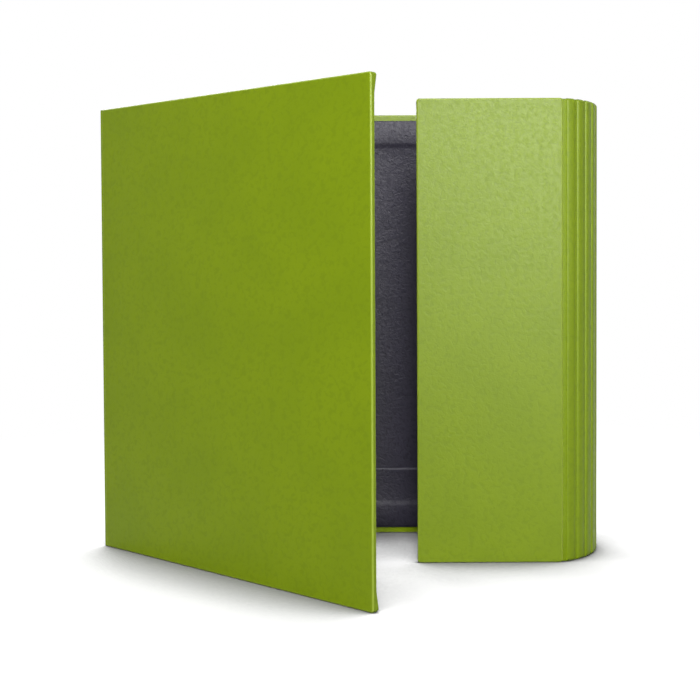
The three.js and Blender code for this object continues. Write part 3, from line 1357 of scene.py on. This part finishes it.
@dataclass
class RingMechanism:
    """The plate, blades, levers, ring halves and rivets inside the back."""

    maker: Maker
    wire: float = 2.0 * MM
    foot: float = 8.0 * MM
    bulge: float = 2.2 * MM
    tip_gap: float = 0.15 * MM
    straight: float = 6.0 * MM
    ease: float = 11.8 * MM
    sides: int = 20
    bend_steps: int = 16
    straight_steps: int = 4
    ring_count: int = 3
    rivet_dome: float = 1.2 * MM
    rivet_shaft: float = 2.0 * MM
    rivet_steps: int = 8
    rivet_sides: int = 36

    def build(self) -> None:
        """Dresses the sheet parts and builds the ring halves and rivets."""
        finishes = self.maker.finishes
        finishes.dress_node("ring_plate", Slot.CHROME)
        for name in ("upper", "lower"):
            finishes.dress_node(f"ring_lever_{name}", Slot.CHROME)
            self.rivet(name)
        for side in ("left", "right"):
            finishes.dress_node(f"ring_blade_{side}", Slot.STEEL)
            for index in range(1, self.ring_count + 1):
                self.ring_half(side, index)

    def ring_half(self, side: str, index: int) -> None:
        """Builds one ring half as a round wire.

        Args:
            side: left or right.
            index: which ring it belongs to.
        """
        node = f"ring_{side}_{index}"
        low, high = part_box(node)
        plate_low, plate_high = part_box("ring_plate")
        middle = (plate_low[0] + plate_high[0]) / 2
        path = self.path(side, middle, high[1], low[1] + self.wire, (low[2] + high[2]) / 2)
        mesh = self.tube(path)
        name = f"ring_wire_{side}_{index}"
        self.maker.add(name, mesh, (Slot.CHROME,), f"ring_{side}", [node], weighted=False)

    def path(
        self, side: str, middle: float, foot: float, crest: float, height: float
    ) -> list[Vector]:
        """Lists the points along a ring half's wire.

        Args:
            side: left for the curved half, right for the straight one.
            middle: the mechanism's centre line.
            foot: Y of the wire's foot on its blade.
            crest: Y of the wire's centre at its tip.
            height: Z of the ring.

        Returns:
            The points from foot to tip.
        """
        if side == "right":
            foot_x = middle + self.foot
            tip_x = middle + self.tip_gap
            bend = crest + self.foot
            arcs = [
                [(foot_x, foot), (foot_x, bend)],
                [(foot_x, bend), (foot_x, crest), (tip_x, crest)],
            ]
        else:
            foot_x = middle - self.foot
            tip_x = middle - self.tip_gap
            bulge_x = foot_x - self.bulge
            lift = foot - self.straight
            half = (foot + crest) / 2
            arcs = [
                [(foot_x, foot), (foot_x, lift)],
                [
                    (foot_x, lift),
                    (foot_x, lift - self.ease / 2),
                    (bulge_x, half + self.ease),
                    (bulge_x, half),
                ],
                [(bulge_x, half), (bulge_x, half - self.ease), (foot_x, crest), (tip_x, crest)],
            ]
        points = []
        for arc in arcs:
            controls = [Vector((x, y, height)) for x, y in arc]
            count = self.bend_steps if len(arc) > 2 else self.straight_steps
            first = 1 if points else 0
            points += [bezier(controls, step / count) for step in range(first, count + 1)]
        return points

    def tube(self, path: Sequence[Vector]) -> Mesh:
        """Makes a round wire along points that lie at one height.

        Args:
            path: the wire's centre line.

        Returns:
            The closed mesh.
        """
        mesh = bmesh.new()
        rings = []
        up = Vector((0, 0, 1))
        for index, spot in enumerate(path):
            ahead = path[min(index + 1, len(path) - 1)] - path[max(index - 1, 0)]
            side = ahead.normalized().cross(up)
            ring = []
            for step in range(self.sides):
                angle = FULL_TURN * step / self.sides
                offset = side * math.cos(angle) + up * math.sin(angle)
                ring.append(mesh.verts.new(spot + offset * self.wire))
            rings.append(ring)
        for first, second in zip(rings, rings[1:]):
            bridge(mesh, first, second, closed=True)
        mesh.faces.new(rings[0])
        mesh.faces.new(rings[-1])
        return mesh

    def rivet(self, name: str) -> None:
        """Builds one rivet with two domed heads.

        Args:
            name: upper or lower.
        """
        low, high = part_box(f"rivet_{name}")
        centre = Vector(((low[0] + high[0]) / 2, 0, (low[2] + high[2]) / 2))
        head = (high[0] - low[0]) / 2
        dome = self.rivet_dome
        turns = [QUARTER_TURN * step / self.rivet_steps for step in range(1, self.rivet_steps + 1)]
        curve = [(head * math.sin(angle), dome * (1 - math.cos(angle))) for angle in turns]
        profile = [(radius, high[1] - depth) for radius, depth in curve]
        profile += [(self.rivet_shaft, high[1] - dome), (self.rivet_shaft, low[1] + dome)]
        profile += [(radius, low[1] + depth) for radius, depth in reversed(curve)]
        mesh = bmesh.new()
        rows = []
        for radius, y in profile:
            row = []
            for step in range(self.rivet_sides):
                angle = FULL_TURN * step / self.rivet_sides
                offset = Vector((radius * math.cos(angle), y, radius * math.sin(angle)))
                row.append(mesh.verts.new(centre + offset))
            rows.append(row)
        for first, second in zip(rows, rows[1:]):
            bridge(mesh, first, second, closed=True)
        for row, y in ((rows[0], high[1]), (rows[-1], low[1])):
            tip = mesh.verts.new(centre + Vector((0, y, 0)))
            for here, after in zip(row, [*row[1:], row[0]]):
                mesh.faces.new((here, after, tip))
        self.maker.add(f"rivet_{name}_domed", mesh, (Slot.STEEL,), "back", [f"rivet_{name}"])


# Room, light and camera


def seen_directly(tree: Tree) -> Socket:
    """Adds a mask of the rays that the camera, metal and glass send to the background.

    Args:
        tree: the tree of the floor or the world.

    Returns:
        The mask's socket.
    """
    rays = tree.add("ShaderNodeLightPath")
    mask = tree.math("MAXIMUM", rays.outputs["Is Camera Ray"], rays.outputs["Is Glossy Ray"])
    return tree.math("MAXIMUM", mask, rays.outputs["Is Transmission Ray"])


@dataclass(frozen=True)
class SoftLamp:
    """A soft rectangular lamp, in metres and watts. A card only shows as a soft reflection."""

    name: str
    place: Triple
    target: Triple
    size: Pair
    power: float
    card: bool = False

    def hang(self) -> None:
        """Adds the lamp to the scene, turned to its target."""
        data = bpy.data.lights.new(self.name, "AREA")
        data.shape = "RECTANGLE"
        data.size, data.size_y = self.size
        data.energy = self.power
        lamp = new_object(self.name, data)
        lamp.location = self.place
        look = Vector(self.target) - Vector(self.place)
        lamp.rotation_euler = look.to_track_quat("-Z", "Y").to_euler()
        lamp.visible_diffuse = not self.card


LAMPS = (
    SoftLamp("front_softbox", (-0.02, -1.25, 0.88), (0.03, -0.09, 0.15), (0.28, 0.7), 20.5),
    SoftLamp("sheen_card", (0.35, -1.35, 0.6), (0.09, -0.19, 0.15), (0.5, 0.95), 36.0, card=True),
    SoftLamp("side_card", (1.1, -0.75, 0.55), (0.13, -0.15, 0.15), (0.4, 0.95), 8.0, card=True),
    SoftLamp("back_softbox", (-0.3, 1.5, 0.9), (0.0, 0.0, 0.12), (0.9, 0.9), 17.0),
    SoftLamp("top_softbox", (0.1, 0.3, 1.6), (0.0, -0.05, 0.0), (1.0, 1.0), 4.5),
)


@dataclass(frozen=True)
class PaleFloor:
    """The floor, which keeps the binder's shadow and fades into the white surround. Near the
    binder, ambient occlusion dims its glow as a painted contact shadow.

    The reach of the contact shadow, the fade and the sizes are in metres. The contact range maps
    how open the floor is to how strongly it glows.
    """

    half_size: float = 4
    drop: float = 0.2 * MM
    roughness: float = 0.8
    specular: float = 0.1
    tints: tuple[Colour, Colour] = ((0.40, 0.40, 0.40), (0.42, 0.42, 0.42))
    tint_scale: float = 3
    shown: Colour = (0.28, 0.28, 0.28)
    glow: float = 0.9
    contact_range: Pair = (0.46, 0.84)
    contact_reach: float = 0.12
    contact_samples: int = 8
    fade: Pair = (0.30, 0.62)

    def lay(self) -> None:
        """Lays the floor just below the binder."""
        mesh = bmesh.new()
        bmesh.ops.create_grid(mesh, x_segments=1, y_segments=1, size=self.half_size)
        data = bpy.data.meshes.new("floor")
        mesh.to_mesh(data)
        mesh.free()
        floor = new_object("floor", data)
        floor.location.z = -self.drop
        data.materials.append(self.material())

    def material(self) -> Material:
        """Builds the floor's material.

        Returns:
            The material.
        """
        material, tree, shader, places = start_material("pale_floor")
        cloud = tree.noise(places, self.tint_scale)
        feeds = {
            "Base Color": tree.blend(cloud.outputs["Fac"], *self.tints),
            "Roughness": self.roughness,
            "Specular IOR Level": self.specular,
        }
        tree.feed(shader, feeds)
        # painted contact shadow: ambient occlusion dims the glow near the binder
        reach = {"Distance": self.contact_reach}
        near = tree.add("ShaderNodeAmbientOcclusion", reach, samples=self.contact_samples)
        contact = tree.remap(near.outputs["AO"], self.contact_range, (0.0, self.glow))
        glow = tree.add("ShaderNodeEmission", {"Strength": contact})
        dim = tree.add("ShaderNodeBsdfDiffuse", {"Color": (*self.shown, 1)})
        lit = tree.add("ShaderNodeAddShader", {0: dim.outputs[0], 1: glow.outputs[0]})
        white = tree.add("ShaderNodeEmission", {"Strength": 1})
        length = tree.add("ShaderNodeVectorMath", {0: places}, operation="LENGTH")
        far = tree.remap(length.outputs["Value"], self.fade, (0.0, 1.0))
        pale = tree.mix_shaders(far, lit.outputs[0], white.outputs[0])
        mix = tree.mix_shaders(seen_directly(tree), shader.outputs[0], pale)
        tree.feed(material.node_tree.nodes["Material Output"], {"Surface": mix})
        return material


@dataclass(frozen=True)
class Studio:
    """The camera, the white surround, the floor and the lamps. The camera's turns are degrees."""

    focal_pixels: float = 1206
    frame_pixels: float = 700
    sensor: float = 36
    camera_place: Triple = (-28.08 * MM, -843.66 * MM, 190.25 * MM)
    pitch: float = 1.723
    roll: float = -0.288
    yaw: float = -0.063
    axis_row: float = 298.1
    nearest: float = 50 * MM
    surround: float = 0.13

    def build(self) -> None:
        """Builds everything around the binder."""
        bpy.context.scene.view_settings.view_transform = "Standard"
        self.camera()
        PaleFloor().lay()
        self.world()
        for lamp in LAMPS:
            lamp.hang()

    def camera(self) -> None:
        """Places the camera where the photograph was taken from."""
        data = bpy.data.cameras.new("camera")
        data.sensor_width = self.sensor
        data.lens = self.focal_pixels / self.frame_pixels * self.sensor
        data.shift_y = (self.axis_row - self.frame_pixels / 2) / self.frame_pixels
        data.clip_start = self.nearest
        camera = new_object("camera", data)
        turn = Euler((math.radians(90 - self.pitch), 0, math.radians(self.yaw)), "XYZ").to_matrix()
        spin = Euler((0, 0, math.radians(self.roll)), "XYZ").to_matrix()
        camera.matrix_world = (turn @ spin).to_4x4()
        camera.location = self.camera_place
        bpy.context.scene.camera = camera

    def world(self) -> None:
        """Sets a soft surround that the camera and gloss see as white."""
        world = bpy.data.worlds.new("studio")
        bpy.context.scene.world = world
        world.use_nodes = True
        tree = Tree(world.node_tree)
        fill = world.node_tree.nodes["Background"]
        tree.feed(fill, {"Color": WHITE, "Strength": self.surround})
        white = tree.add("ShaderNodeBackground", {"Color": WHITE, "Strength": 1})
        mix = tree.mix_shaders(seen_directly(tree), fill.outputs[0], white.outputs[0])
        tree.feed(world.node_tree.nodes["World Output"], {"Surface": mix})


def main() -> None:
    logging.basicConfig(level=logging.INFO)
    sizes = CaseSizes()
    maker = Maker(Finishes())
    Studio().build()
    BackBoard(sizes, maker).build()
    LeftSide(sizes, maker).build()
    ForeEdge(sizes, maker).build()
    RingMechanism(maker).build()


if __name__ == "__main__":
    main()
